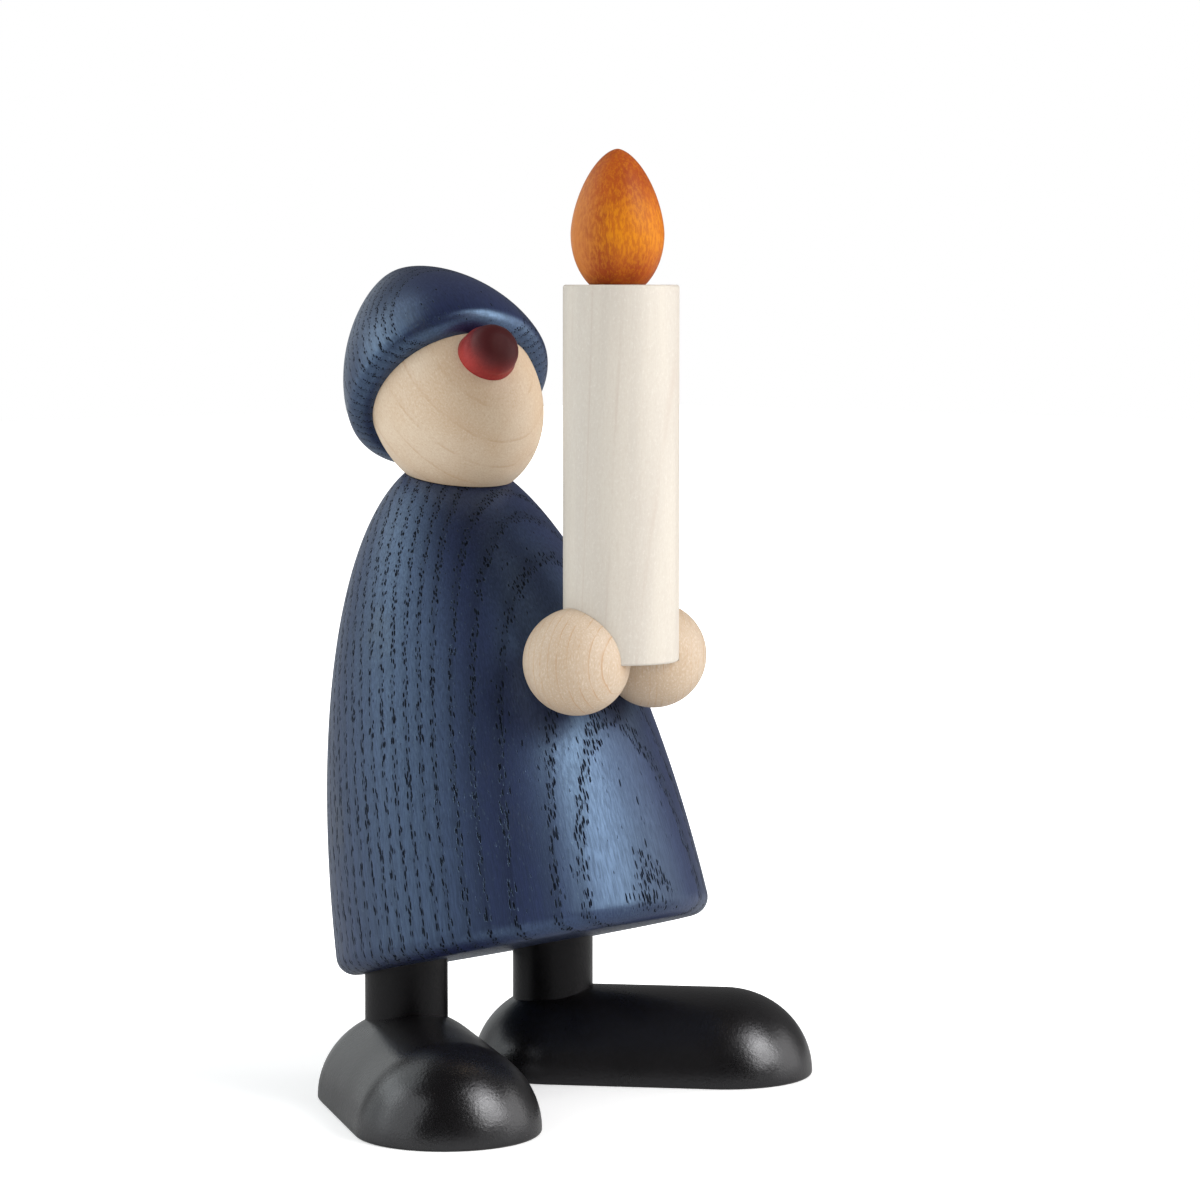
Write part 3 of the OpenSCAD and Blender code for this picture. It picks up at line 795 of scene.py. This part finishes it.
def shoeSurface(side, toeOut):
    # half capsule: an outline of two half circles and two straights round a spine along Y,
    # and over it a flat sole, a rounded edge and a quarter ellipse up to the ridge
    r, rounding = shoe["width"] / 2, shoe["soleRound"]
    rise = shoe["height"] - rounding
    half = (shoe["length"] - shoe["width"]) / 2
    front = np.linspace(-np.pi, 0, shoe["endSteps"], endpoint=False)
    back = np.linspace(0, np.pi, shoe["endSteps"], endpoint=False)
    run = np.linspace(-half, half, shoe["straightSteps"], endpoint=False)
    angle = np.concatenate([front, 0 * run, back, 0 * run + np.pi])
    spine = np.concatenate([0 * front - half, run, 0 * back + half, -run])
    t = np.linspace(0, np.pi / 2, shoe["overRings"])[1:]
    edge = r - rounding
    profile = np.concatenate([
        flatTo(edge, 0.0), arc(edge, rounding, rounding, rounding, -90, 0),
        np.stack([r * np.cos(t), rounding + rise * np.sin(t)], -1)])
    radius, z = profile[:, 0:1], profile[:, 1:2]
    grid = np.stack([radius * np.cos(angle), spine + radius * np.sin(angle), z + 0 * angle], -1)
    legAt = stand + np.array([side * legs["spacing"] / 2, 0, 0])
    return placed(grid + np.array([0, -shoe["setBack"], 0]), turnZ(side * toeOut), legAt)


def makeShoe(side, node, name, toeOut):
    grid = shoeSurface(side, toeOut)
    piece(name, grid, shoeLacquer, "figure", [node], shoe["sharpAngle"])


piece("rightLegStick", legSurface("right_leg"), legLacquer, "figure", ["right_leg"])
piece("leftLegStick", legSurface("left_leg"), legLacquer, "figure", ["left_leg"])
makeShoe(-1, "right_shoe", "rightShoeBlock", shoe["rightToeOut"])
makeShoe(1, "left_shoe", "leftShoeBlock", shoe["leftToeOut"])
print("legs and shoes made")


# hidden dowels keep their solids and get plain beech

dowels = {"nodes": ("neck_dowel", "right_hand_dowel", "left_hand_dowel"),
          "pith": (14.0, 6.0, 0.0), "firstRing": 0.0, "ringWidth": 2.4}
dowelPith = neckAt + np.array(dowels["pith"])
beech = paleMaple("dowelBeech", dowelPith, neckTurn, dowels["firstRing"], dowels["ringWidth"], dowelLook)
for node in dowels["nodes"]:
    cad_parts[node].material_slots[0].material = beech


# floor, light and camera

studio = {
    "floorSize": 6.0, "floorColor": (0.9, 0.9, 0.9, 1), "floorInGloss": (0.6, 0.6, 0.6, 1),
    "floorRoughness": 0.9, "floorGlow": (0.06, 0.13, 0.36, 1.0), "floorBounce": 0.15,
    "white": (1, 1, 1, 1), "ambient": 0.45, "reflection": (0.0, 0.6, 0.03, 0.15),
    # turn and rise in degrees from the camera's side and the floor, size in metres, power in watts
    "lamps": {
        "rightMain": {"turn": 61, "rise": 25, "size": 0.5, "power": 4.1, "color": (1.0, 0.985, 0.97)},
        "rightHigh": {"turn": 61, "rise": 43, "size": 0.38, "power": 2.1, "color": (1.0, 0.985, 0.98)},
        "rightLow": {"turn": 94, "rise": 8, "size": 0.7, "power": 2.55, "color": (1.0, 0.985, 0.97)},
        "leftBack": {"turn": -152, "rise": 10, "size": 0.5, "power": 0.42, "color": (0.95, 1.0, 1.0)},
        "leftHigh": {"turn": -108, "rise": 44, "size": 0.7, "power": 1.6, "color": (0.95, 1.0, 1.0)},
        "leftLow": {"turn": -100, "rise": 18, "size": 0.8, "power": 1.6, "color": (0.95, 1.0, 1.0)},
        "leftFront": {"turn": -62, "rise": 22, "size": 0.9, "power": 2.7, "color": (0.98, 1.0, 1.0)},
    },
    "lampDistance": 0.9, "aimHeight": 82.0,
}
# place in mm from the stand, pitch in degrees, focal length and frame in pixels,
# sensor in mm and clip in metres
camera = {"place": (-488.63, -530.80, 146.04), "heading": (0.6993, 0.7148), "pitch": 4.52,
          "focal": 3960, "frame": 1200, "sensor": 36.0, "clipEnd": 20.0}
aim = np.array([0.0, 0.0, studio["aimHeight"]]) + stand
toCamera = -np.array([*camera["heading"], 0])


def seenDirectly(tree, path):
    # 1 for what the camera sees itself, also through clear things
    return calc(tree, "ADD", path["Is Camera Ray"], path["Is Transmission Ray"], clamp=True)


def axesTurn(across, up, out):
    return Matrix(np.stack([across, up, out], -1).tolist()).to_4x4()


def unit(vector):
    return vector / np.linalg.norm(vector)


def makeFloor():
    # white floor that keeps the figure's shadow near its feet and turns plain white further out
    bpy.ops.mesh.primitive_plane_add(size=studio["floorSize"])
    floor = bpy.context.object
    floor.name = "studioFloor"
    material, tree, shader = newMaterial("floorWhite")
    path = add(tree, "ShaderNodeLightPath").outputs
    glow = ramp(tree, lengthOf(tree, objectPlace(tree)), *studio["floorGlow"])
    bounce = times(tree, path["Is Diffuse Ray"], studio["floorBounce"])
    glow = plus(tree, times(tree, glow, seenDirectly(tree, path)), bounce)
    tint = mixColor(tree, path["Is Glossy Ray"], studio["floorColor"], studio["floorInGloss"])
    tree.links.new(tint, shader.inputs["Base Color"])
    tree.links.new(glow, shader.inputs["Emission Strength"])
    shader.inputs["Emission Color"].default_value = studio["white"]
    shader.inputs["Roughness"].default_value = studio["floorRoughness"]
    shader.inputs["Specular IOR Level"].default_value = 0.0
    floor.data.materials.append(material)


def makeWorld():
    # plain soft light all round; white to the eye, and dim in reflections except behind the figure
    world = bpy.data.worlds.new("studioWorld")
    bpy.context.scene.world = world
    world.use_nodes = True
    tree = world.node_tree
    back = tree.nodes["Background"]
    path = add(tree, "ShaderNodeLightPath").outputs
    seen = seenDirectly(tree, path)
    way = add(tree, "ShaderNodeTexCoord").outputs["Generated"]
    behind = alongWay(tree, way, (-toCamera).tolist())
    shine = times(tree, path["Is Glossy Ray"], ramp(tree, behind, *studio["reflection"]))
    plain = times(tree, minus(tree, 1.0, path["Is Glossy Ray"]), studio["ambient"])
    rest = times(tree, minus(tree, 1.0, seen), plus(tree, shine, plain))
    back.inputs["Color"].default_value = studio["white"]
    tree.links.new(plus(tree, seen, rest), back.inputs["Strength"])


def makeSoftbox(name, setting):
    # square lamp at an angle from the camera's side, aimed at the middle of the figure
    rise = np.radians(setting["rise"])
    way = turnZ(setting["turn"]) @ toCamera * np.cos(rise) + np.array([0, 0, np.sin(rise)])
    lamp = bpy.data.lights.new(name, "AREA")
    lamp.shape = "SQUARE"
    lamp.size = setting["size"]
    lamp.energy = setting["power"]
    lamp.color = setting["color"]
    across = unit(np.cross([0, 0, 1], way))
    place = Matrix.Translation((aim * mm + way * studio["lampDistance"]).tolist())
    newObject(name, lamp).matrix_world = place @ axesTurn(across, np.cross(way, across), way)


def makeCamera():
    # looks along its heading, pitched down, with the photograph's focal length in pixels
    lens = bpy.data.cameras.new("photoView")
    lens.sensor_width = camera["sensor"]
    lens.lens = camera["sensor"] * camera["focal"] / camera["frame"]
    lens.clip_end = camera["clipEnd"]
    pitch = np.radians(camera["pitch"])
    look = np.array([*(np.array(camera["heading"]) * np.cos(pitch)), -np.sin(pitch)])
    right = unit(np.cross(look, [0, 0, 1]))
    made = newObject("photoView", lens)
    place = Matrix.Translation(((np.array(camera["place"]) + stand) * mm).tolist())
    made.matrix_world = place @ axesTurn(right, np.cross(right, look), -look)
    bpy.context.scene.camera = made


makeFloor()
makeWorld()
for lampName, lampSetting in studio["lamps"].items():
    makeSoftbox(lampName, lampSetting)
makeCamera()
bpy.context.scene.view_settings.view_transform = "Standard"
print("studio set")
